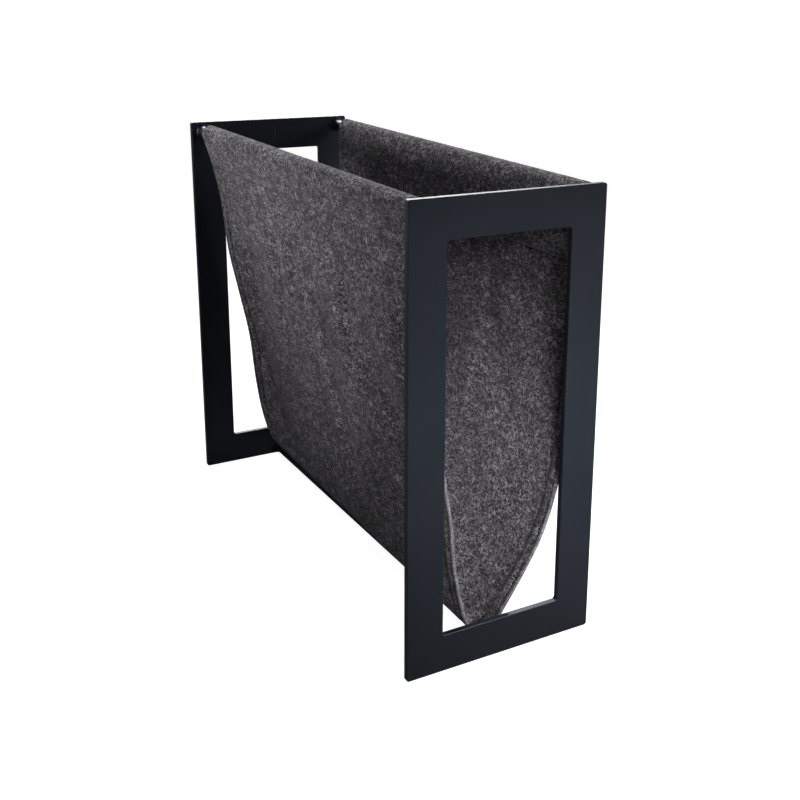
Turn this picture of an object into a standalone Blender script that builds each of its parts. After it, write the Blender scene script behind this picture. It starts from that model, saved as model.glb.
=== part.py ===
"""Magazine rack: two flat steel end frames, three round steel rods and a felt sling.

Each end frame is one rectangular plate with a window cut in it. Two rods join the frames at the
top corners and one at the middle of the bottom edge, each welded to the frames' inside faces.
The sling is one sheet of felt whose two long edges are folded inwards round the top rods and
sewn down as pockets.

Units are metres. X runs across the rack and Y along it, from the front frame to the rear one.
Z runs up from the floor, and the origin is on the floor under the middle of the rack.
"""

import math

import bmesh
import bpy
from mathutils import Vector

# Overall size
WIDTH = 0.163
LENGTH = 0.455
HEIGHT = 0.360

# End frames
PLATE = 0.005
BAR = 0.030
OUTER_CORNER = 0.002
INNER_CORNER = 0.0025
EDGE_BREAK = 0.0004
CORNER_STEPS = 5

# Rods
TOP_ROD_RADIUS = 0.005
TOP_ROD_INSET = 0.0103
TOP_ROD_DROP = 0.0085
BOTTOM_ROD_RADIUS = 0.006
BOTTOM_ROD_CLEAR = 0.0005
ROD_SIDES = 32

# Weld beads, one round each rod end
WELD_LEG = 0.0020
WELD_ARC_STEPS = 24
BOTTOM_WELD_START = math.radians(-25)

# Felt sling
FELT = 0.003
FRONT_GAP = 0.004
REAR_GAP = 0.024
ROD_SLACK = 0.00035
PLY_GAP = 0.0004
UPPER_SEAM_Z = 0.322
LOWER_SEAM_Z = 0.302
FLAP_END_Z = 0.299
UNDERSIDE_Z = 0.0136
WALL_STEPS = 34
POCKET_STEPS = 9
LENGTH_STEPS = 8

# Sewing thread
THREAD_WIDTH = 0.0008
THREAD_THICKNESS = 0.0004
HEM_INSET = 0.005

# Gap between solids that touch on the real rack
GAP = 0.0003

INSIDE_FRONT = -LENGTH / 2 + PLATE
INSIDE_REAR = LENGTH / 2 - PLATE
FELT_FRONT = INSIDE_FRONT + FRONT_GAP
FELT_REAR = INSIDE_REAR - REAR_GAP
TOP_ROD_X = WIDTH / 2 - TOP_ROD_INSET
TOP_ROD_Z = HEIGHT - TOP_ROD_DROP
BOTTOM_ROD_Z = BOTTOM_ROD_RADIUS + BOTTOM_ROD_CLEAR
POCKET_RADIUS = TOP_ROD_RADIUS + ROD_SLACK + FELT / 2
SLING_LOW_Z = UNDERSIDE_Z + FELT / 2

# Middle line of the felt, as (x, z) down the left wall and up the right wall between the two
# upper seams. Both ends have the same length of felt, and their lowest points lie left of the
# bottom rod's top, the front one further than the rear one.
FRONT_SECTION = (
    (-0.0670, UPPER_SEAM_Z), (-0.0625, 0.280), (-0.0565, 0.220), (-0.0490, 0.165),
    (-0.0400, 0.112), (-0.0380, 0.085), (-0.0335, 0.058), (-0.0265, 0.031),
    (-0.0175, 0.0185), (-0.0080, SLING_LOW_Z), (0.0000, 0.0205), (0.0067, 0.0300),
    (0.0250, 0.057), (0.0400, 0.083), (0.0515, 0.115), (0.0600, 0.160), (0.0660, 0.220),
    (0.0685, 0.280), (0.0680, UPPER_SEAM_Z),
)
REAR_SECTION = (
    (-0.0693, UPPER_SEAM_Z), (-0.0618, 0.285), (-0.0564, 0.237), (-0.0476, 0.193),
    (-0.0394, 0.150), (-0.0340, 0.100), (-0.0280, 0.062), (-0.0202, 0.0355),
    (-0.0115, 0.0210), (-0.0020, SLING_LOW_Z), (0.0085, 0.0195), (0.0210, 0.034),
    (0.0385, 0.063), (0.0535, 0.105), (0.0630, 0.160), (0.0680, 0.220), (0.0690, 0.280),
    (0.0675, UPPER_SEAM_Z),
)


def clear_scene():
    for obj in list(bpy.data.objects):
        bpy.data.objects.remove(obj, do_unlink=True)


def make_material(name, colour, roughness, metallic):
    material = bpy.data.materials.new(name)
    material.use_nodes = True
    shader = material.node_tree.nodes["Principled BSDF"]
    shader.inputs["Base Color"].default_value = (*colour, 1.0)
    shader.inputs["Roughness"].default_value = roughness
    shader.inputs["Metallic"].default_value = metallic
    return material


def powder_coat(name):
    return make_material(name, (0.012, 0.014, 0.018), 0.55, 0.0)


def felt(name):
    return make_material(name, (0.075, 0.075, 0.080), 0.95, 0.0)


def thread(name):
    return make_material(name, (0.030, 0.030, 0.033), 0.80, 0.0)


def add_object(name, bm, material, smooth_angle=math.radians(35)):
    bmesh.ops.recalc_face_normals(bm, faces=bm.faces)
    mesh = bpy.data.meshes.new(name)
    bm.to_mesh(mesh)
    bm.free()
    mesh.shade_smooth()
    mesh.set_sharp_from_angle(angle=smooth_angle)
    mesh.materials.append(material)
    obj = bpy.data.objects.new(name, mesh)
    bpy.context.scene.collection.objects.link(obj)
    return obj


def join_rings(bm, rings):
    """Quads between each ring of vertices and the next. The rings have equal counts."""
    for near, far in zip(rings, rings[1:]):
        for i in range(len(near)):
            bm.faces.new((near[i - 1], near[i], far[i], far[i - 1]))


def rounded_rectangle(half_width, low, high, radius):
    """Points (x, z) round a rectangle with arcs at its corners, anticlockwise from lower right."""
    corners = (
        (half_width - radius, low + radius, -90),
        (half_width - radius, high - radius, 0),
        (radius - half_width, high - radius, 90),
        (radius - half_width, low + radius, 180),
    )
    points = []
    for x, z, start in corners:
        for step in range(CORNER_STEPS + 1):
            angle = math.radians(start + 90 * step / CORNER_STEPS)
            points.append((x + radius * math.cos(angle), z + radius * math.sin(angle)))
    return points


def end_frame(name, y_outside, inwards):
    """A plate with a window and broken edges. inwards is +1 or -1, towards the other frame."""

    def outline(shrink, depth):
        loop = rounded_rectangle(WIDTH / 2 - shrink, shrink, HEIGHT - shrink, OUTER_CORNER)
        return [(x, y_outside + inwards * depth, z) for x, z in loop]

    def window(grow, depth):
        low = BAR - grow
        high = HEIGHT - BAR + grow
        loop = rounded_rectangle(WIDTH / 2 - BAR + grow, low, high, INNER_CORNER + grow)
        return [(x, y_outside + inwards * depth, z) for x, z in loop]

    bm = bmesh.new()
    far = PLATE - EDGE_BREAK
    rings = [
        outline(EDGE_BREAK, 0), outline(0, EDGE_BREAK), outline(0, far), outline(EDGE_BREAK, PLATE),
        window(EDGE_BREAK, PLATE), window(0, far), window(0, EDGE_BREAK), window(EDGE_BREAK, 0),
    ]
    rings = [[bm.verts.new(point) for point in ring] for ring in rings]
    join_rings(bm, rings + rings[:1])
    return add_object(name, bm, powder_coat(f"{name}_coat"))


def rod(name, x, z, radius):
    """A round bar along Y between the inside faces of the two frames."""
    bm = bmesh.new()
    length = INSIDE_REAR - INSIDE_FRONT - 2 * GAP
    bmesh.ops.create_cone(
        bm, cap_ends=True, segments=ROD_SIDES, radius1=radius, radius2=radius, depth=length
    )
    obj = add_object(name, bm, powder_coat(f"{name}_coat"))
    obj.location = (x, (INSIDE_FRONT + INSIDE_REAR) / 2, z)
    obj.rotation_euler = (math.radians(90), 0, 0)
    return obj


def weld_bead(name, x, z, rod_radius, y_face, inwards, start, sweep):
    """A hollow fillet in the corner between a rod and a frame, swept round the rod's axis."""
    inner = rod_radius + GAP
    near = y_face + inwards * GAP
    profile = (
        (inner, near), (inner + WELD_LEG, near),
        (inner + 0.42 * WELD_LEG, near + inwards * 0.42 * WELD_LEG),
        (inner, near + inwards * WELD_LEG),
    )
    bm = bmesh.new()
    verts = [
        bm.verts.new((x + r * math.cos(start), y, z + r * math.sin(start))) for r, y in profile
    ]
    face = bm.faces.new(verts)
    full = math.isclose(sweep, 2 * math.pi)
    if full:
        edges = list(face.edges)
        bm.faces.remove(face)
        geometry = edges
    else:
        geometry = [face]
    bmesh.ops.spin(
        bm, geom=geometry, cent=(x, 0, z), axis=(0, -1, 0), angle=sweep,
        steps=WELD_ARC_STEPS, use_merge=full, use_duplicate=False,
    )
    return add_object(name, bm, powder_coat(f"{name}_coat"))


def smooth_curve(points, steps):
    """Points evenly spaced by length along a Catmull-Rom curve through the given points."""
    fine = 24
    ends = [2 * points[0] - points[1], *points, 2 * points[-1] - points[-2]]
    dense = []
    for a, b, c, d in zip(ends, ends[1:], ends[2:], ends[3:]):
        for step in range(fine):
            t = step / fine
            dense.append(
                b + 0.5 * t * ((c - a) + t * (2 * a - 5 * b + 4 * c - d + t * (3 * (b - c) + d - a)))
            )
    dense.append(points[-1])
    return evenly(dense, steps)


def evenly(points, steps):
    """The polyline through the points, resampled into equal steps."""
    lengths = [(b - a).length for a, b in zip(points, points[1:])]
    total = sum(lengths)
    result = [points[0]]
    index = 0
    passed = 0.0
    for step in range(1, steps):
        target = total * step / steps
        while passed + lengths[index] < target:
            passed += lengths[index]
            index += 1
        share = (target - passed) / lengths[index]
        result.append(points[index].lerp(points[index + 1], share))
    result.append(points[-1])
    return result


def pocket(side, seam, below):
    """Middle line of one pocket and its flap, from the flap's free edge to the wall's seam point.

    side is -1 on the left and +1 on the right, seam the wall's point at the upper seam and below
    the wall's next point.
    """
    centre = Vector((side * TOP_ROD_X, TOP_ROD_Z))
    down = (below - seam).normalized()
    inwards = Vector((-side, 0.0))
    inwards = (inwards - inwards.dot(down) * down).normalized()
    ply = FELT + PLY_GAP
    flap_seam = seam + inwards * ply
    flap_end = flap_seam + down * (UPPER_SEAM_Z - FLAP_END_Z)
    leave_inner = math.radians(-12)
    leave_outer = math.radians(212)
    arc = []
    for step in range(POCKET_STEPS + 1):
        angle = leave_inner + (leave_outer - leave_inner) * step / POCKET_STEPS
        arc.append(centre + POCKET_RADIUS * Vector((-side * math.cos(angle), math.sin(angle))))
    flap = [flap_end.lerp(flap_seam, share / 3) for share in range(4)]
    rise = [flap_seam.lerp(arc[0], share / 3) for share in (1, 2)]
    fall = [arc[-1].lerp(seam, share / 3) for share in (1, 2)]
    return flap + rise + arc + fall


def sheet_line(share):
    """Middle line of the whole sheet, from the left flap's edge to the right flap's edge.

    share is 0 at the front end and 1 at the rear end.
    """
    front = smooth_curve([Vector(point) for point in FRONT_SECTION], WALL_STEPS)
    rear = smooth_curve([Vector(point) for point in REAR_SECTION], WALL_STEPS)
    wall = [a.lerp(b, share) for a, b in zip(front, rear)]
    left = pocket(-1, wall[0], wall[1])
    right = pocket(1, wall[-1], wall[-2])
    return left + wall + right[::-1]


def normals(points):
    """Unit normals of a polyline, on the side of the sling's outside."""
    result = []
    for i, point in enumerate(points):
        before = points[max(i - 1, 0)]
        after = points[min(i + 1, len(points) - 1)]
        along = (after - before).normalized()
        result.append(Vector((along.y, -along.x)))
    return result


def offset(points, distance):
    return [point + distance * normal for point, normal in zip(points, normals(points))]


def loft(bm, sections):
    """Joins the (x, z) outlines at their y places into one strip and caps its two ends."""
    rings = []
    for y, inner, outer in sections:
        rings.append([bm.verts.new((p.x, y, p.y)) for p in inner + outer[::-1]])
    join_rings(bm, rings)
    last = len(rings[0]) - 1
    for ring in (rings[0], rings[-1]):
        for i in range(len(ring) // 2 - 1):
            bm.faces.new((ring[i], ring[i + 1], ring[last - 1 - i], ring[last - i]))


def felt_share(y):
    return (y - FELT_FRONT) / (FELT_REAR - FELT_FRONT)


def felt_sling():
    inside = FELT_REAR - FELT_FRONT - 2 * HEM_INSET
    places = [FELT_FRONT]
    places += [FELT_FRONT + HEM_INSET + inside * i / LENGTH_STEPS for i in range(LENGTH_STEPS + 1)]
    places += [FELT_REAR]
    sections = []
    for y in places:
        middle = sheet_line(felt_share(y))
        sections.append((y, offset(middle, -FELT / 2), offset(middle, FELT / 2)))
    bm = bmesh.new()
    loft(bm, sections)
    return add_object("felt_sling", bm, felt("felt"))


def wall_only(line):
    """The part of the sheet's line between the two pockets."""
    start = (len(line) - WALL_STEPS - 1) // 2
    return line[start:start + WALL_STEPS + 1]


def pocket_thread(name, side, z):
    """A row of stitching along Y on the outside of a wall, at height z."""
    bm = bmesh.new()
    sections = []
    for y in (FELT_FRONT + HEM_INSET + THREAD_WIDTH, FELT_REAR - HEM_INSET - THREAD_WIDTH):
        wall = wall_only(sheet_line(felt_share(y)))
        outside = offset(wall, FELT / 2 + GAP)
        outer = offset(wall, FELT / 2 + GAP + THREAD_THICKNESS)
        if side > 0:
            outside.reverse()
            outer.reverse()
        low = at_height(outside, z - THREAD_WIDTH / 2)
        high = at_height(outside, z + THREAD_WIDTH / 2)
        low_out = at_height(outer, z - THREAD_WIDTH / 2)
        high_out = at_height(outer, z + THREAD_WIDTH / 2)
        sections.append((y, [low, high], [low_out, high_out]))
    loft(bm, sections)
    return add_object(name, bm, thread(name))


def at_height(points, z):
    """Where a polyline that runs down from its start passes height z."""
    for a, b in zip(points, points[1:]):
        if a.y >= z >= b.y:
            return a.lerp(b, (a.y - z) / (a.y - b.y))
    return points[0] + (points[0] - points[1]) * (z - points[0].y) / (points[0].y - points[1].y)


def hem_thread(name, y):
    """The row of stitching that follows the sling's end edge, on the outside of the felt."""
    wall = wall_only(sheet_line(felt_share(y)))
    line = [point for point in wall if point.y < LOWER_SEAM_Z - THREAD_WIDTH * 4]
    inner = offset(line, FELT / 2 + GAP)
    outer = offset(line, FELT / 2 + GAP + THREAD_THICKNESS)
    bm = bmesh.new()
    half = THREAD_WIDTH / 2
    loft(bm, [(y - half, inner, outer), (y + half, inner, outer)])
    return add_object(name, bm, thread(name))


def build():
    clear_scene()
    end_frame("front_end_frame", -LENGTH / 2, 1)
    end_frame("rear_end_frame", LENGTH / 2, -1)
    rods = (
        ("left_top", -TOP_ROD_X, TOP_ROD_Z, TOP_ROD_RADIUS, 0.0, 2 * math.pi),
        ("right_top", TOP_ROD_X, TOP_ROD_Z, TOP_ROD_RADIUS, 0.0, 2 * math.pi),
        ("bottom", 0.0, BOTTOM_ROD_Z, BOTTOM_ROD_RADIUS,
         BOTTOM_WELD_START, math.pi - 2 * BOTTOM_WELD_START),
    )
    for name, x, z, radius, start, sweep in rods:
        rod(f"{name}_rod", x, z, radius)
        weld_bead(f"front_{name}_weld", x, z, radius, INSIDE_FRONT, 1, start, sweep)
        weld_bead(f"rear_{name}_weld", x, z, radius, INSIDE_REAR, -1, start, sweep)
    felt_sling()
    for name, side in (("left", -1), ("right", 1)):
        pocket_thread(f"{name}_upper_seam_thread", side, UPPER_SEAM_Z)
        pocket_thread(f"{name}_lower_seam_thread", side, LOWER_SEAM_Z)
    hem_thread("front_hem_thread", FELT_FRONT + HEM_INSET)
    hem_thread("rear_hem_thread", FELT_REAR - HEM_INSET)


build()
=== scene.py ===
"""The magazine rack's looks: powder-coated steel frame, felt sling and its stitching.

Units are metres, in the frame of the CAD model: X across the rack, Y along it from the front
frame to the rear one, Z up from the floor.
"""
import math

import bpy
import numpy as np
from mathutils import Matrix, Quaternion, Vector, noise


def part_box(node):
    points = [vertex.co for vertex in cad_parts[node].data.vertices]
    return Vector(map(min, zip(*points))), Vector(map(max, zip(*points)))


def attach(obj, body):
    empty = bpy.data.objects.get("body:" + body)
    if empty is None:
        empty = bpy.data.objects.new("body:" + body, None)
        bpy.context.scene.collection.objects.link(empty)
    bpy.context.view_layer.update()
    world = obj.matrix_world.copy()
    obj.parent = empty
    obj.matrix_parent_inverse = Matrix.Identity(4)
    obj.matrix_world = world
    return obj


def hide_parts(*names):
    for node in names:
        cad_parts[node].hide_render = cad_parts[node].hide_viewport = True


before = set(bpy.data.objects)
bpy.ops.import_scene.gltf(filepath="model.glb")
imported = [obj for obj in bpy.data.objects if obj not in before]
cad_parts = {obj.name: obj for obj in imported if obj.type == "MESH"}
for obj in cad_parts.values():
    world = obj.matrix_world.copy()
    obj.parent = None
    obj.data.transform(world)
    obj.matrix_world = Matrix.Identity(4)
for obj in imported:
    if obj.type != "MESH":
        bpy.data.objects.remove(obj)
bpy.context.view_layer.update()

# Camera: where it stands, the way it looks and its lens
CAMERA_PLACE = (-0.4287, -0.8871, 0.4994)
CAMERA_AZIMUTH = math.radians(31.99)
CAMERA_DOWN = math.radians(15.71)
CAMERA_ROLL = math.radians(-1.25)
CAMERA_LENS = 52.02
CAMERA_SHIFT = (-0.1125, -0.1188)

# Felt sheet
FELT = 0.003
PLY_GAP = 0.0004
ROD_SLACK = 0.00035
TOP_ROD_RADIUS = 0.005
UPPER_SEAM_Z = 0.322
LOWER_SEAM_Z = 0.302
FLAP_END_Z = 0.299

# Middle line of the felt between the two upper seams, as (x, z) down the left wall and up the
# right one, at the sling's front end and at its rear end.
SLING_LOW_Z = 0.0151
FRONT_SECTION = (
    (-0.0670, UPPER_SEAM_Z), (-0.0625, 0.280), (-0.0565, 0.220), (-0.0490, 0.165),
    (-0.0400, 0.112), (-0.0380, 0.085), (-0.0335, 0.058), (-0.0265, 0.031),
    (-0.0175, 0.0185), (-0.0080, SLING_LOW_Z), (0.0000, 0.0205), (0.0067, 0.0300),
    (0.0250, 0.057), (0.0400, 0.083), (0.0515, 0.115), (0.0600, 0.160), (0.0660, 0.220),
    (0.0685, 0.280), (0.0680, UPPER_SEAM_Z),
)
REAR_SECTION = (
    (-0.0693, UPPER_SEAM_Z), (-0.0618, 0.285), (-0.0564, 0.237), (-0.0476, 0.193),
    (-0.0394, 0.150), (-0.0340, 0.100), (-0.0280, 0.062), (-0.0202, 0.0355),
    (-0.0115, 0.0210), (-0.0020, SLING_LOW_Z), (0.0085, 0.0195), (0.0210, 0.034),
    (0.0385, 0.063), (0.0535, 0.105), (0.0630, 0.160), (0.0680, 0.220), (0.0690, 0.280),
    (0.0675, UPPER_SEAM_Z),
)

# The crease beside the left wall's rear end, as (height, distance from the end)
CREASE = (
    (0.060, 0.060), (0.096, 0.052), (0.118, 0.042), (0.138, 0.023), (0.159, 0.032),
    (0.182, 0.038), (0.205, 0.046), (0.240, 0.051), (0.266, 0.050), (0.284, 0.040),
)

# Rows of stitching: how far the hem rows lie from each end, the stitches' own size, and how
# deep and wide a groove they press into the felt
HEM_ROWS = (0.0040, 0.0135)
STITCH_PITCH = 0.0033
STITCH_LENGTH = 0.0025
THREAD_RADIUS = 0.00028
SEAM_GROOVE = 0.00025
HEM_GROOVE = 0.00105
GROOVE_WIDTH = 0.0009
THINNEST = 0.00004

# Depths of what is shaped: the crease, how much deeper it is low down, the sharp line in
# it, the upright ridge, the ripples, the loose swells and the felt's fuzzy surface
CREASE_DEPTH = 0.0060
CREASE_DEEPER = 0.0020
CREASE_LINE = 0.0007
RIDGE = 0.0034
RIPPLE = 0.0011
RIPPLE_PITCH = 0.052
SWELL = 0.0016
FUZZ = 0.00013
BROAD_FUZZ = 0.00010

# How gently the shaping fades out: from the seams, from the two ends and above the bottom rod
SEAM_EASE = 0.060
END_EASE = 0.055
FOOT_EASE = (0.024, 0.050)

# Spacing of the felt's mesh: on the walls, round the rods and close to the seams
COARSE = 0.0033
ROUND_ROD = 0.0012
FINE = 0.0005
REACH = 0.0022

# Cloth simulation of the walls: its grid, its length in frames and the most it may move a point
DRAPE_AROUND = 84
DRAPE_ALONG = 56
DRAPE_FRAMES = 26
DRAPE_CAP = 0.0030
CLOTH = {
    "quality": 5, "mass": 0.004, "tension_stiffness": 20, "compression_stiffness": 20,
    "shear_stiffness": 12, "bending_stiffness": 0.8, "pin_stiffness": 0.6, "shrink_min": -0.020,
}

SLING_LOW, SLING_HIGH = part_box("felt_sling")
SLING_FRONT = SLING_LOW[1]
SLING_REAR = SLING_HIGH[1]
SLING_LENGTH = SLING_REAR - SLING_FRONT


# ---------------------------------------------------------------- small helpers

def link(obj):
    bpy.context.scene.collection.objects.link(obj)
    return obj


def mesh_object(name, verts, faces, material=None):
    mesh = bpy.data.meshes.new(name)
    mesh.from_pydata(np.asarray(verts).tolist(), [], np.asarray(faces).tolist())
    mesh.shade_smooth()
    if material:
        mesh.materials.append(material)
    mesh.update()
    return link(bpy.data.objects.new(name, mesh))


def catmull_rom(points, fine=24):
    ends = np.vstack([2 * points[0] - points[1], points, 2 * points[-1] - points[-2]])
    t = (np.arange(fine) / fine)[:, None]
    dense = []
    for a, b, c, d in zip(ends, ends[1:], ends[2:], ends[3:]):
        bend = 2 * a - 5 * b + 4 * c - d + t * (3 * (b - c) + d - a)
        dense.append(b + 0.5 * t * ((c - a) + t * bend))
    return np.vstack(dense + [points[-1:]])


def lengths_along(points):
    return np.concatenate([[0.0], np.cumsum(np.linalg.norm(np.diff(points, axis=0), axis=1))])


def points_at(points, places):
    along = lengths_along(points)
    return np.stack([np.interp(places, along, column) for column in points.T], axis=1)


def resample(points, steps):
    return points_at(points, np.linspace(0, lengths_along(points)[-1], steps + 1))


def smoothstep(x, low, high):
    t = np.clip((x - low) / (high - low), 0, 1)
    return t * t * (3 - 2 * t)


def bell(x, centre, width):
    return np.exp(-((x - centre) / width) ** 2)


def noise_at(points, scale, seed):
    """Smooth noise from -1 to 1 at each point."""
    shift = Vector((seed * 17.3, seed * 5.1, seed * 9.7))
    flat = points.reshape(-1, 3)
    values = [noise.noise(Vector(p) * scale + shift) for p in flat.tolist()]
    return np.array(values).reshape(points.shape[:-1])


# ---------------------------------------------------------------- materials

class Nodes:
    """A short way to build a material's node tree."""

    def __init__(self, name):
        self.material = bpy.data.materials.new(name)
        self.material.use_nodes = True
        self.tree = self.material.node_tree
        self.shader = self.tree.nodes["Principled BSDF"]

    def add(self, kind, **inputs):
        node = self.tree.nodes.new(kind)
        for key, value in inputs.items():
            self.set(node, key.replace("_", " "), value)
        return node

    def set(self, node, socket, value):
        if isinstance(value, bpy.types.NodeSocket):
            self.tree.links.new(value, node.inputs[socket])
        else:
            node.inputs[socket].default_value = value

    def coords(self):
        return self.add("ShaderNodeTexCoord").outputs["Object"]

    def stretched(self, vector, scale):
        node = self.add("ShaderNodeMapping", Vector=vector, Scale=scale)
        return node.outputs["Vector"]

    def attribute(self, name):
        node = self.add("ShaderNodeAttribute")
        node.attribute_name = name
        return node.outputs["Fac"]

    def noise(self, vector, scale, detail=2.0, roughness=0.5, distortion=0.0):
        node = self.add("ShaderNodeTexNoise", Vector=vector, Scale=scale, Detail=detail,
                        Roughness=roughness, Distortion=distortion)
        return node.outputs["Fac"]

    def ramp(self, value, *stops):
        node = self.add("ShaderNodeValToRGB", Fac=value)
        elements = node.color_ramp.elements
        while len(elements) < len(stops):
            elements.new(0.5)
        for element, (place, colour) in zip(elements, stops):
            element.position = place
            element.color = (*colour, 1.0)
        return node.outputs["Color"]

    def mask(self, value, low, high):
        """0 below low and 1 above high."""
        node = self.add("ShaderNodeMapRange")
        for socket, number in (("From Min", low), ("From Max", high)):
            node.inputs[socket].default_value = number
        self.set(node, "Value", value)
        return node.outputs["Result"]

    def math(self, operation, *values):
        node = self.add("ShaderNodeMath")
        node.operation = operation
        for place, value in enumerate(values):
            self.set(node, place, value)
        return node.outputs["Value"]

    def near(self, vector, centre, low, high):
        """0 inside low metres from centre and 1 outside high metres."""
        node = self.add("ShaderNodeVectorMath")
        node.operation = "DISTANCE"
        self.set(node, 0, vector)
        self.set(node, 1, centre)
        return self.mask(node.outputs["Value"], low, high)

    def mix(self, factor, a, b, blend="MIX"):
        node = self.add("ShaderNodeMix")
        node.data_type = "RGBA"
        node.blend_type = blend
        for place, value in ((0, factor), (6, a), (7, b)):
            self.set(node, place, (*value, 1.0) if isinstance(value, tuple) else value)
        return node.outputs[2]

    def bump(self, height, strength, distance, normal=None):
        node = self.add("ShaderNodeBump", Height=height, Strength=strength, Distance=distance)
        if normal is not None:
            self.set(node, "Normal", normal)
        return node.outputs["Normal"]

    def finish(self, **inputs):
        for key, value in inputs.items():
            self.set(self.shader, key.replace("_", " "), value)
        return self.material


def grey(level):
    return (level, level, level)


def powder_coat():
    """Matte black powder coat: a pebbled skin, slight patches in its sheen, a pinhole's painted
    shade and a paler streak.
    """
    n = Nodes("powder_coat")
    at = n.coords()
    pebble = n.noise(at, 1500, 3, 0.6)
    peel = n.noise(at, 300, 2, 0.5)
    patch = n.noise(at, 12, 3, 0.55)
    colour = n.ramp(patch, (0.3, (0.0050, 0.0062, 0.0084)), (0.7, (0.0072, 0.0086, 0.0114)))
    # painted shade: a tiny near-black dot low on the front frame's right bar, standing in for the
    # dark inside of a pinhole
    clear_of_pinhole_shade = n.near(at, (0.057, -0.2275, 0.0227), 0.0005, 0.0009)
    colour = n.mix(clear_of_pinhole_shade, (0.002, 0.002, 0.002), colour)
    # a faint paler upright streak down the middle of the rear frame's top bar, on its inside face
    flattened = n.stretched(at, (1.0, 1.0, 0.12))
    clear_of_pale_streak = n.near(flattened, (0.004, 0.2225, 0.0415), 0.0002, 0.0012)
    colour = n.mix(clear_of_pale_streak, (0.030, 0.031, 0.034), colour)
    rough = n.math("MULTIPLY_ADD", patch, 0.12, 0.36)
    normal = n.bump(peel, 0.10, 0.0004)
    normal = n.bump(pebble, 0.20, 0.00012, normal)
    return n.finish(Base_Color=colour, Roughness=rough, Normal=normal, Specular_IOR_Level=0.6,
                    Specular_Tint=(0.66, 0.78, 1.0, 1.0))


def felt():
    """Mottled charcoal wool felt: dark and light fibres pressed together, paler at its cut edge,
    and painted shade in its stitch grooves.
    """
    n = Nodes("felt")
    at = n.stretched(n.coords(), (1.0, 0.62, 1.0))
    worms = n.noise(at, 400, 4, 0.62, 1.5)
    fleck = n.noise(at, 780, 3, 0.6, 0.9)
    cloud = n.noise(at, 110, 3, 0.55)
    patch = n.noise(at, 22, 3, 0.5)
    base = n.ramp(worms, (0.42, (0.0085, 0.0079, 0.0085)), (0.48, (0.026, 0.024, 0.026)),
                  (0.525, (0.095, 0.088, 0.095)), (0.59, (0.42, 0.39, 0.42)))
    light = n.mask(fleck, 0.54, 0.65)
    base = n.mix(n.math("MULTIPLY", light, 0.55), base, (0.34, 0.318, 0.34))
    base = n.mix(1.0, base, n.ramp(cloud, (0.34, grey(0.55)), (0.66, grey(1.30))), "MULTIPLY")
    base = n.mix(1.0, base, n.ramp(patch, (0.3, grey(0.84)), (0.7, grey(1.10))), "MULTIPLY")
    rim = n.attribute("rim")
    base = n.mix(n.math("MULTIPLY", rim, 0.5), base, (0.27, 0.265, 0.28))
    # painted shade: the felt is darkened towards near-black in the grooves that the stitch rows
    # press in
    pressed = n.attribute("pressed")
    base = n.mix(n.math("MULTIPLY", pressed, 0.75), base, (0.012, 0.012, 0.013))
    normal = n.bump(worms, 1.0, 0.0021)
    normal = n.bump(fleck, 0.8, 0.0006, normal)
    return n.finish(Base_Color=base, Roughness=0.95, Normal=normal, Specular_IOR_Level=0.12,
                    Sheen_Weight=0.30, Sheen_Roughness=0.45, Sheen_Tint=(0.9, 0.88, 0.92, 1.0))


def thread():
    """Dark grey sewing thread with a twisted look."""
    n = Nodes("thread")
    twist = n.noise(n.coords(), 2600, 2, 0.5)
    colour = n.ramp(twist, (0.35, (0.022, 0.021, 0.024)), (0.65, (0.060, 0.057, 0.062)))
    return n.finish(Base_Color=colour, Roughness=0.7, Normal=n.bump(twist, 0.4, 0.0002),
                    Specular_IOR_Level=0.3)


# ---------------------------------------------------------------- the steel frame

PLATES = ("front_end_frame", "rear_end_frame")
RODS = ("left_top", "right_top", "bottom")
ROD_SIDES = 64
ROD_CHAMFER = 0.0003
BEAD_STEPS = 120
BEAD_PROFILE_STEPS = 7
BEAD_LEG = 0.0026
BEAD_OVERLAP = 0.0002
BEAD_RIPPLE = 2.2
BEAD_OFF_FLOOR = 0.0004
CENTRE_MARK = 0.0004


def dress_plates(coat):
    for name in PLATES:
        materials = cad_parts[name].data.materials
        materials.clear()
        materials.append(coat)


def turned(name, centre, profile, sides, material, ripple=None):
    """A closed ring or bar turned round a line along Y; profile is (radius, y) round the solid."""
    angles = np.linspace(0, 2 * math.pi, sides, endpoint=False)
    profile = np.array(profile)
    swell = np.ones((sides, len(profile))) if ripple is None else ripple(angles, profile)
    verts = np.stack([
        centre[0] + profile[None, :, 0] * swell * np.cos(angles)[:, None],
        np.broadcast_to(profile[None, :, 1], (sides, len(profile))),
        centre[1] + profile[None, :, 0] * swell * np.sin(angles)[:, None],
    ], axis=2).reshape(-1, 3)
    around = np.arange(sides)
    faces = []
    count = len(profile)
    for k in range(count):
        a, b = around * count + k, around * count + (k + 1) % count
        faces.append(np.stack([a, np.roll(a, -1), np.roll(b, -1), b], axis=1))
    obj = mesh_object(name, verts, np.vstack(faces), material)
    obj.data.set_sharp_from_angle(angle=math.radians(40))
    return obj


def rod_centre(name):
    """A rod's centre as (x, z), its radius and where it starts and ends along the rack."""
    low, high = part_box(f"{name}_rod")
    return ((low[0] + high[0]) / 2, (low[2] + high[2]) / 2), (high[2] - low[2]) / 2, low[1], high[1]


def make_rod(name, coat):
    """A round bar with a tiny chamfer and a hollow no wider than a centre mark at each end."""
    centre, radius, front, rear = rod_centre(name)
    profile = [(CENTRE_MARK, front), (radius - ROD_CHAMFER, front), (radius, front + ROD_CHAMFER)]
    profile += [(radius, y) for y in np.linspace(front + 0.004, rear - 0.004, 9)]
    profile += [(radius, rear - ROD_CHAMFER), (radius - ROD_CHAMFER, rear), (CENTRE_MARK, rear)]
    rod = turned(f"{name}_bar", centre, profile, ROD_SIDES, coat)
    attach(rod, "root")
    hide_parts(f"{name}_rod")


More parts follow.
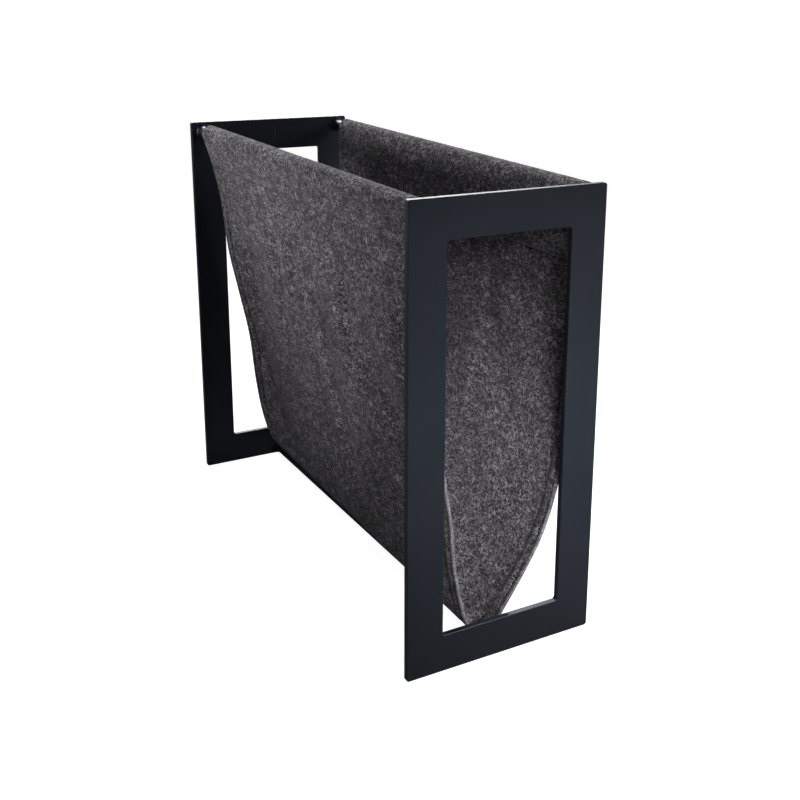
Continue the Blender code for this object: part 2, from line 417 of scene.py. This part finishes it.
def make_bead(end, name, coat):
    """A rippled weld fillet in the corner between a rod's end and the frame's inside face."""
    centre, radius, front, rear = rod_centre(name)
    y_face, inwards = (front, 1) if end == "front" else (rear, -1)
    t = np.linspace(0, 1, BEAD_PROFILE_STEPS)
    # a slightly hollow curve from the frame's face to the rod's surface
    out = BEAD_LEG * (1 - t) ** 1.25
    off = BEAD_LEG * t ** 1.25
    inner = radius - BEAD_OVERLAP
    profile = [(inner, y_face)]
    profile += [(radius + o, y_face + inwards * f) for o, f in zip(out, off)]
    profile += [(inner, y_face + inwards * BEAD_LEG)]
    phase = 1.7 * RODS.index(name) + (0.8 if end == "rear" else 0.0)

    def ripple(angles, shape):
        wave = 0.035 * np.sin(26 * angles + phase) + 0.05 * np.sin(3 * angles + 2 * phase)
        reach = np.clip((shape[:, 0] - radius) / BEAD_LEG, 0, 1)
        return 1 + wave[:, None] * np.sqrt(reach)[None, :] * BEAD_LEG / radius * BEAD_RIPPLE

    bead = turned(f"{end}_{name}_bead", centre, profile, BEAD_STEPS, coat, ripple)
    for vertex in bead.data.vertices:
        vertex.co[2] = max(vertex.co[2], BEAD_OFF_FLOOR)
    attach(bead, "root")
    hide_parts(f"{end}_{name}_weld")


# ---------------------------------------------------------------- the felt sling's surface

def pocket_line(side, seam, below):
    """Middle line of a pocket and its flap, from the flap's free edge to the wall's upper seam."""
    centre, _, _, _ = rod_centre("left_top" if side < 0 else "right_top")
    centre = np.array(centre)
    radius = TOP_ROD_RADIUS + ROD_SLACK + FELT / 2
    down = (below - seam) / np.linalg.norm(below - seam)
    inwards = np.array([-side, 0.0])
    inwards = inwards - inwards.dot(down) * down
    inwards /= np.linalg.norm(inwards)
    flap_seam = seam + inwards * (FELT + PLY_GAP)
    flap_end = flap_seam + down * (UPPER_SEAM_Z - FLAP_END_Z)
    angles = np.radians(np.linspace(-12, 212, 40))
    arc = centre + radius * np.stack([-side * np.cos(angles), np.sin(angles)], axis=1)
    corners = np.vstack([flap_end, (flap_end + flap_seam) / 2, flap_seam,
                         flap_seam * 0.45 + arc[0] * 0.55, arc[::3], arc[-1:],
                         (arc[-1] + seam) / 2, seam])
    return resample(catmull_rom(corners), 200)


def section_line(points):
    wall = resample(catmull_rom(np.array(points)), 1200)
    left = pocket_line(-1, wall[0], wall[20])
    right = pocket_line(1, wall[-1], wall[-21])
    return np.vstack([left[:-1], wall, right[::-1][1:]])


def crossings(line, z):
    above = line[:, 1] > z
    where = np.nonzero(above[1:] != above[:-1])[0]
    along = lengths_along(line)
    share = (z - line[where, 1]) / (line[where + 1, 1] - line[where, 1])
    return along[where] + share * (along[where + 1] - along[where])


def section_keys(line):
    """Distances along a section of its two ends and, between them, of the eight stitch rows."""
    rows = np.concatenate([crossings(line, UPPER_SEAM_Z), crossings(line, LOWER_SEAM_Z)])
    return np.concatenate([[0.0], np.sort(rows), [lengths_along(line)[-1]]])


def spaced(start, end, step):
    """Places from start to end, close together near both and a step apart between them."""
    reach = min(REACH, (end - start) / 2)
    near = FINE * np.arange(max(int(reach / FINE - 0.5), 1))
    count = max(int(round((end - start - 2 * near[-1]) / step)), 1)
    middle = np.linspace(start + near[-1], end - near[-1], count + 1)
    return np.concatenate([start + near[:-1], middle, (end - near[:-1])[::-1]])


def stations(keys, round_rods=()):
    """Places between the keys; round_rods numbers the stretches that turn round a rod."""
    parts = []
    for number, (a, b) in enumerate(zip(keys, keys[1:])):
        step = ROUND_ROD if number in round_rods else COARSE
        parts.append(spaced(a, b, step)[:-1])
    return np.concatenate(parts + [[keys[-1]]])


class Sheet:
    """The felt's middle surface, as rows of points around it and along it, and their normals."""

    def __init__(self):
        front = section_line(FRONT_SECTION)
        rear = section_line(REAR_SECTION)
        self.keys = section_keys(front)
        self.width = self.keys[-1]
        self.around = stations(self.keys, round_rods=(2, 6))
        rear_keys = section_keys(rear)
        rear_around = np.interp(self.around, self.keys, rear_keys)
        hems = np.array(HEM_ROWS)
        self.hem_keys = np.concatenate([[0.0], hems, SLING_LENGTH - hems[::-1], [SLING_LENGTH]])
        self.along = stations(self.hem_keys)
        share = (self.along / SLING_LENGTH)[None, :, None]
        grid = points_at(front, self.around)[:, None] * (1 - share)
        grid = grid + points_at(rear, rear_around)[:, None] * share
        y = np.broadcast_to(SLING_FRONT + self.along[None, :], grid.shape[:2])
        self.grid = np.stack([grid[..., 0], y, grid[..., 1]], axis=2)
        self.normal = self.normals()

    def normals(self):
        """Unit normals on the sling's outer side."""
        du = np.gradient(self.grid, self.around, axis=0)
        dv = np.gradient(self.grid, self.along, axis=1)
        normal = np.cross(dv, du)
        return normal / np.linalg.norm(normal, axis=2, keepdims=True)

    def move(self, distance):
        """Moves each point along its normal and works out the normals again."""
        self.grid = self.grid + self.normal * distance[..., None]
        self.normal = self.normals()

    def edge_distance(self):
        around = np.minimum(self.around, self.width - self.around)[:, None]
        along = np.minimum(self.along, SLING_LENGTH - self.along)[None, :]
        return np.minimum(around, along)


def wall_mask(sheet):
    """1 on the free walls and 0 at the seams and round the rods."""
    inside = np.minimum(sheet.around - sheet.keys[4], sheet.keys[5] - sheet.around)
    return smoothstep(inside, 0.0, SEAM_EASE)[:, None]


def between_ends(sheet):
    """1 along most of the sling and 0 at its two ends."""
    inside = np.minimum(sheet.along, SLING_LENGTH - sheet.along)
    return smoothstep(inside, 0.0, END_EASE)[None, :]


def above_foot(sheet):
    """1 on the walls and 0 low down, where the felt must stay off the bottom rod."""
    return smoothstep(sheet.grid[..., 2], *FOOT_EASE)


def shape_by_hand(sheet):
    """Swells and creases that papers standing in the sling have pressed into its walls."""
    x, y, z = np.moveaxis(sheet.grid, 2, 0)
    left = smoothstep(-x, 0.005, 0.020)
    from_rear = SLING_REAR - y
    # the wall sinks into a crease beside the rear end, and flares out again to the hem
    heights, widths = np.array(CREASE).T
    crease = np.interp(z, heights, widths)
    past = np.clip(crease - from_rear, 0, None)
    before = np.clip(from_rear - crease, 0, None)
    swell = np.exp(-before / 0.060) - past / crease
    low = smoothstep(z, 0.022, 0.060) * smoothstep(0.300 - z, 0.0, 0.060)
    depth = CREASE_DEPTH + CREASE_DEEPER * smoothstep(0.170 - z, 0.0, 0.050)
    move = -depth * left * low * swell
    sharp = bell(from_rear, crease, 0.003) * smoothstep(0.165 - z, 0.0, 0.02)
    move = move + CREASE_LINE * left * low * sharp
    # a shallow upright ridge half way along, and softer ripples towards the rear end
    ridge_y = -0.008 - 0.00028 * np.clip(160 - z * 1000, 0, None)
    ridge = bell(y, ridge_y, 0.011) * smoothstep(z, 0.05, 0.10) * smoothstep(0.25 - z, 0, 0.06)
    move = move + RIDGE * left * ridge
    ripple = np.sin((y - 0.02) * 2 * math.pi / RIPPLE_PITCH) * smoothstep(y, 0.02, 0.09)
    move = move + RIPPLE * left * ripple * smoothstep(z, 0.12, 0.2)
    loose = noise_at(sheet.grid * (1.0, 1.0, 0.6), 14.0, 1)
    move = move + SWELL * loose * (0.15 + 0.85 * between_ends(sheet))
    sheet.move(move * wall_mask(sheet) * above_foot(sheet))


def drape(sheet):
    """Lets the walls settle as cloth between their held seams, and copies the capped movement."""
    inside = (sheet.keys[3], sheet.keys[6])
    around = np.linspace(*inside, DRAPE_AROUND)
    along = np.linspace(0, SLING_LENGTH, DRAPE_ALONG)
    rest = resampled(sheet.grid, sheet.around, sheet.along, around, along)
    index = np.arange(DRAPE_AROUND * DRAPE_ALONG).reshape(DRAPE_AROUND, DRAPE_ALONG)
    quads = np.stack([index[:-1, :-1], index[1:, :-1], index[1:, 1:], index[:-1, 1:]], axis=2)
    cloth = mesh_object("drape", rest.reshape(-1, 3), quads.reshape(-1, 4))
    held = cloth.vertex_groups.new(name="held")
    depth = np.minimum(around - inside[0], inside[1] - around)
    hold = 1 - 0.93 * smoothstep(depth, 0.004, 0.050)
    for row, weight in zip(index, hold):
        held.add(row.tolist(), float(weight), "REPLACE")
    modifier = cloth.modifiers.new("cloth", "CLOTH")
    modifier.settings.vertex_group_mass = "held"
    for setting, value in CLOTH.items():
        setattr(modifier.settings, setting, value)
    modifier.point_cache.frame_end = DRAPE_FRAMES
    scene = bpy.context.scene
    for number in range(1, DRAPE_FRAMES + 1):
        scene.frame_set(number)
    graph = bpy.context.evaluated_depsgraph_get()
    settled = cloth.evaluated_get(graph).to_mesh()
    places = np.empty(len(settled.vertices) * 3, np.float32)
    settled.vertices.foreach_get("co", places)
    moved = places.reshape(rest.shape).astype(float) - rest
    cloth.evaluated_get(graph).to_mesh_clear()
    scene.frame_set(1)
    bpy.data.objects.remove(cloth)
    size = np.linalg.norm(moved, axis=2, keepdims=True)
    moved *= np.minimum(1, DRAPE_CAP / np.maximum(size, 1e-9))
    share = np.clip(sheet.around, *inside)
    fine = resampled(moved, around, along, share, sheet.along)
    free = wall_mask(sheet) * between_ends(sheet) * above_foot(sheet)
    sheet.move((fine * sheet.normal).sum(axis=2) * free)
    print("drape: most moved", round(float(size.max()) * 1000, 2), "mm, mean",
          round(float(size.mean()) * 1000, 2), "mm")


def resampled(field, around, along, new_around, new_along):
    """A grid of vectors read at new places, bilinearly."""
    rows = np.stack([[np.interp(new_along, along, field[i, :, k]) for k in range(3)]
                     for i in range(len(around))])
    return np.stack([[np.interp(new_around, around, rows[:, k, j]) for j in range(len(new_along))]
                     for k in range(3)]).transpose(2, 1, 0)


def half_thickness(sheet):
    """Half the felt's thickness, and how far it is pressed in, from 0 to 1.

    The thickness is rounded off at the cut edges and pulled in along each row of stitches.
    """
    corner = FELT / 2
    inside = np.clip(sheet.edge_distance() / corner, 0, 1)
    half = corner * np.sqrt(1 - (1 - inside) ** 2)
    fuzz = noise_at(sheet.grid, 330.0, 3) * FUZZ + noise_at(sheet.grid, 120.0, 4) * BROAD_FUZZ
    half = half + fuzz * smoothstep(sheet.edge_distance(), 0.0, 0.0015)
    groove = np.zeros_like(half)
    for place in sheet.keys[1:-1]:
        row = SEAM_GROOVE * bell(sheet.around, place, GROOVE_WIDTH)
        groove = np.maximum(groove, row[:, None])
    hemmed = (sheet.around > sheet.keys[4]) & (sheet.around < sheet.keys[5])
    for place in sheet.hem_keys[1:-1]:
        row = HEM_GROOVE * bell(sheet.along, place, 1.3 * GROOVE_WIDTH)
        groove = np.maximum(groove, hemmed[:, None] * row[None, :])
    return np.maximum(half - groove, THINNEST), groove / HEM_GROOVE


def make_sheet(sheet, half, pressed, material):
    """A closed skin round the middle surface."""
    offset = sheet.normal * half[..., None]
    verts = np.vstack([(sheet.grid + offset).reshape(-1, 3), (sheet.grid - offset).reshape(-1, 3)])
    count = half.size
    index = np.arange(count).reshape(half.shape)
    loop = np.concatenate([index[:-1, 0], index[-1, :-1], index[:0:-1, -1], index[0, :0:-1]])
    outer = np.stack([index[:-1, :-1], index[:-1, 1:], index[1:, 1:], index[1:, :-1]], axis=2)
    outer = outer.reshape(-1, 4)
    following = np.roll(loop, -1)
    rim = np.stack([loop, following, following + count, loop + count], axis=1)
    faces = np.vstack([outer, outer[:, ::-1] + count, rim])
    obj = mesh_object("felt_sheet", verts, faces, material)
    edge = 1 - smoothstep(sheet.edge_distance(), 0.0002, 0.0022)
    # rim marks the cut edges; pressed holds the depth of the stitch grooves, which the felt
    # material turns into painted shade
    for name, values in (("rim", edge), ("pressed", pressed)):
        attribute = obj.data.attributes.new(name, "FLOAT", "POINT")
        attribute.data.foreach_set("value", np.tile(values.reshape(-1), 2).astype(np.float32))
    return obj


# ---------------------------------------------------------------- stitches

STITCH_SIDES = 6
STITCH_ARCH = np.array([(-0.50, -1.3), (-0.34, 0.1), (0.0, 0.55), (0.34, 0.1), (0.50, -1.3)])


def stitch_row(path, up):
    """Vertices and faces of one row of stitches; path and up are points and normals along it."""
    along = lengths_along(path)
    count = int(along[-1] / STITCH_PITCH)
    middles = (np.arange(count) + 0.5) * along[-1] / count
    places = middles[:, None] + STITCH_ARCH[None, :, 0] * STITCH_LENGTH
    centre = np.stack([np.interp(places, along, column) for column in path.T], axis=2)
    rise = np.stack([np.interp(places, along, column) for column in up.T], axis=2)
    rise /= np.linalg.norm(rise, axis=2, keepdims=True)
    centre = centre + rise * (STITCH_ARCH[None, :, 1:] * THREAD_RADIUS)
    forward = np.gradient(centre, axis=1)
    forward /= np.linalg.norm(forward, axis=2, keepdims=True)
    side = np.cross(forward, rise)
    side /= np.linalg.norm(side, axis=2, keepdims=True)
    over = np.cross(side, forward)
    angles = np.linspace(0, 2 * math.pi, STITCH_SIDES, endpoint=False)
    radius = THREAD_RADIUS * np.array([0.55, 0.95, 1.0, 0.95, 0.55])[None, :, None, None]
    ring = side[:, :, None] * np.cos(angles)[:, None] + over[:, :, None] * np.sin(angles)[:, None]
    verts = centre[:, :, None] + ring * radius
    rings = len(STITCH_ARCH)
    size = rings * STITCH_SIDES
    one = []
    for r in range(rings - 1):
        for k in range(STITCH_SIDES):
            a, b = r * STITCH_SIDES + k, r * STITCH_SIDES + (k + 1) % STITCH_SIDES
            one.append((a, b, b + STITCH_SIDES, a + STITCH_SIDES))
    last = size - STITCH_SIDES
    one += [(3, 2, 1, 0), (0, 5, 4, 3)]
    one += [(last, last + 1, last + 2, last + 3), (last + 3, last + 4, last + 5, last)]
    faces = np.array(one)[None] + (np.arange(count) * size)[:, None, None]
    return verts.reshape(-1, 3), faces.reshape(-1, 4)


def surface_row(sheet, half, side, around=None, along=None):
    """A line over the felt's surface at one distance around it or along it, and its normals."""
    skin = sheet.grid + side * sheet.normal * half[..., None]
    if around is not None:
        at = int(np.argmin(abs(sheet.around - around)))
        inside = (sheet.along > HEM_ROWS[0]) & (sheet.along < SLING_LENGTH - HEM_ROWS[0])
        return skin[at, inside], side * sheet.normal[at, inside]
    at = int(np.argmin(abs(sheet.along - along)))
    inside = (sheet.around > sheet.keys[4]) & (sheet.around < sheet.keys[5])
    return skin[inside, at], side * sheet.normal[inside, at]


def make_stitches(name, rows, node, material):
    verts, faces, count = [], [], 0
    for path, up in rows:
        row_verts, row_faces = stitch_row(path, up)
        verts.append(row_verts)
        faces.append(row_faces + count)
        count += len(row_verts)
    obj = mesh_object(name, np.vstack(verts), np.vstack(faces), material)
    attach(obj, "root")
    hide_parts(node)
    return obj


def sew(sheet, half):
    """Two rows through each pocket and two round each end."""
    yarn = thread()
    pieces = []
    keys = sheet.keys
    pockets = (
        ("left_upper_seam", (keys[2], keys[3])), ("left_lower_seam", (keys[1], keys[4])),
        ("right_upper_seam", (keys[6], keys[7])), ("right_lower_seam", (keys[5], keys[8])),
    )
    for name, places in pockets:
        rows = [surface_row(sheet, half, 1, around=place) for place in places]
        pieces.append(make_stitches(f"{name}_stitches", rows, f"{name}_thread", yarn))
    for name, places in (("front_hem", sheet.hem_keys[1:3]), ("rear_hem", sheet.hem_keys[3:5])):
        rows = [surface_row(sheet, half, side, along=place)
                for place in places for side in (1, -1)]
        pieces.append(make_stitches(f"{name}_stitches", rows, f"{name}_thread", yarn))
    return pieces


def make_sling():
    sheet = Sheet()
    shape_by_hand(sheet)
    drape(sheet)
    half, pressed = half_thickness(sheet)
    obj = make_sheet(sheet, half, pressed, felt())
    stitches = sew(sheet, half)
    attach(obj, "root")
    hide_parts("felt_sling")


# ---------------------------------------------------------------- camera, floor and light

def make_camera():
    data = bpy.data.cameras.new("camera")
    data.lens = CAMERA_LENS
    data.sensor_width = 36.0
    data.shift_x, data.shift_y = CAMERA_SHIFT
    data.clip_start = 0.01
    data.clip_end = 50.0
    camera = link(bpy.data.objects.new("camera", data))
    level = math.cos(CAMERA_DOWN)
    forward = Vector((math.sin(CAMERA_AZIMUTH) * level, math.cos(CAMERA_AZIMUTH) * level,
                      -math.sin(CAMERA_DOWN)))
    camera.rotation_mode = "QUATERNION"
    camera.rotation_quaternion = Quaternion(forward, CAMERA_ROLL) @ forward.to_track_quat("-Z", "Y")
    camera.location = CAMERA_PLACE
    bpy.context.scene.camera = camera


def softbox(name, place, target, size, energy, spread):
    """An area light; spread is how wide its grid lets the light fan out, in degrees."""
    data = bpy.data.lights.new(name, "AREA")
    data.shape = "RECTANGLE"
    data.size, data.size_y = size
    data.energy = energy
    data.spread = math.radians(spread)
    light = link(bpy.data.objects.new(name, data))
    light.location = place
    light.rotation_mode = "QUATERNION"
    light.rotation_quaternion = (Vector(target) - Vector(place)).to_track_quat("-Z", "Y")
    light.visible_camera = False


WORLD_STRENGTH = 0.10
# name, place, target, size, energy and spread of each light
SOFTBOXES = (
    ("left_near_softbox", (-0.66, 0.30, 0.40), (-0.06, 0.05, 0.36), (0.4, 0.12), 0.40, 50),
    ("left_low_softbox", (-0.50, 0.30, 0.38), (-0.06, 0.05, 0.26), (0.4, 0.25), 0.03, 180),
    ("front_spot_softbox", (-0.13, -0.74, 0.42), (0.03, -0.2, 0.16), (0.2, 0.2), 0.24, 26),
    ("floor_front_softbox", (0.5, -1.5, 1.2), (0.4, -0.8, 0.0), (0.6, 0.6), 3.7, 80),
    ("floor_right_softbox", (1.7, -0.9, 0.9), (0.9, -0.75, 0.0), (0.9, 0.9), 12.5, 90),
    ("back_softbox", (0.5, 1.6, 1.1), (0, 0, 0.35), (1.4, 0.8), 9.5, 90),
)
BACKDROP_RADIUS = 9.0
BACKDROP_SIDES = 64
SHOWN_TONE = 0.40
FLOOR_GLOW = 0.965
BACKDROP_GLOW = 1.0
FLOOR_TONE = 0.25


def stage_piece(name, verts, faces, tone, glow, shown):
    """Part of the studio. The camera sees shown pieces; the others only throw light back."""
    n = Nodes(name)
    shade = n.ramp(n.noise(n.coords(), 3, 2, 0.5), (0.3, grey(tone)), (0.7, grey(tone * 1.04)))
    material = n.finish(Base_Color=shade, Roughness=0.9, Specular_IOR_Level=0.1,
                        Emission_Color=(1, 1, 1, 1), Emission_Strength=glow)
    obj = mesh_object(name, verts, faces, material)
    obj.visible_camera = shown
    obj.visible_diffuse = obj.visible_glossy = obj.visible_shadow = not shown


def make_stage():
    """A white floor and backdrop for the camera, and a greyer floor that lights the rack."""
    r = BACKDROP_RADIUS
    square = [(-r, -r, 0), (r, -r, 0), (r, r, 0), (-r, r, 0)]
    stage_piece("floor", square, [(0, 1, 2, 3)], SHOWN_TONE, FLOOR_GLOW, True)
    lower = [(x, y, -0.0002) for x, y, _ in square]
    stage_piece("floor_bounce", lower, [(0, 1, 2, 3)], FLOOR_TONE, 0.0, False)
    turns = np.linspace(0, 2 * math.pi, BACKDROP_SIDES, endpoint=False)
    lifts = np.linspace(0, math.pi / 2, 12)[:-1]
    ring = np.stack([np.cos(turns), np.sin(turns)], axis=1)
    verts = [(*(r * math.cos(lift) * p), r * math.sin(lift)) for lift in lifts for p in ring]
    faces = []
    for row in range(len(lifts) - 1):
        for k in range(BACKDROP_SIDES):
            a = row * BACKDROP_SIDES + k
            b = row * BACKDROP_SIDES + (k + 1) % BACKDROP_SIDES
            faces.append((a, a + BACKDROP_SIDES, b + BACKDROP_SIDES, b))
    stage_piece("backdrop", verts, faces, SHOWN_TONE, BACKDROP_GLOW, True)


def make_light():
    world = bpy.data.worlds.new("studio")
    world.use_nodes = True
    background = world.node_tree.nodes["Background"]
    background.inputs["Color"].default_value = (1, 1, 1, 1)
    background.inputs["Strength"].default_value = WORLD_STRENGTH
    bpy.context.scene.world = world
    for box in SOFTBOXES:
        softbox(*box)
    bpy.context.scene.view_settings.view_transform = "Standard"


# ---------------------------------------------------------------- build

make_camera()
make_stage()
make_light()
steel_coat = powder_coat()
dress_plates(steel_coat)
for rod_name in RODS:
    make_rod(rod_name, steel_coat)
    for end_name in ("front", "rear"):
        make_bead(end_name, rod_name, steel_coat)
make_sling()
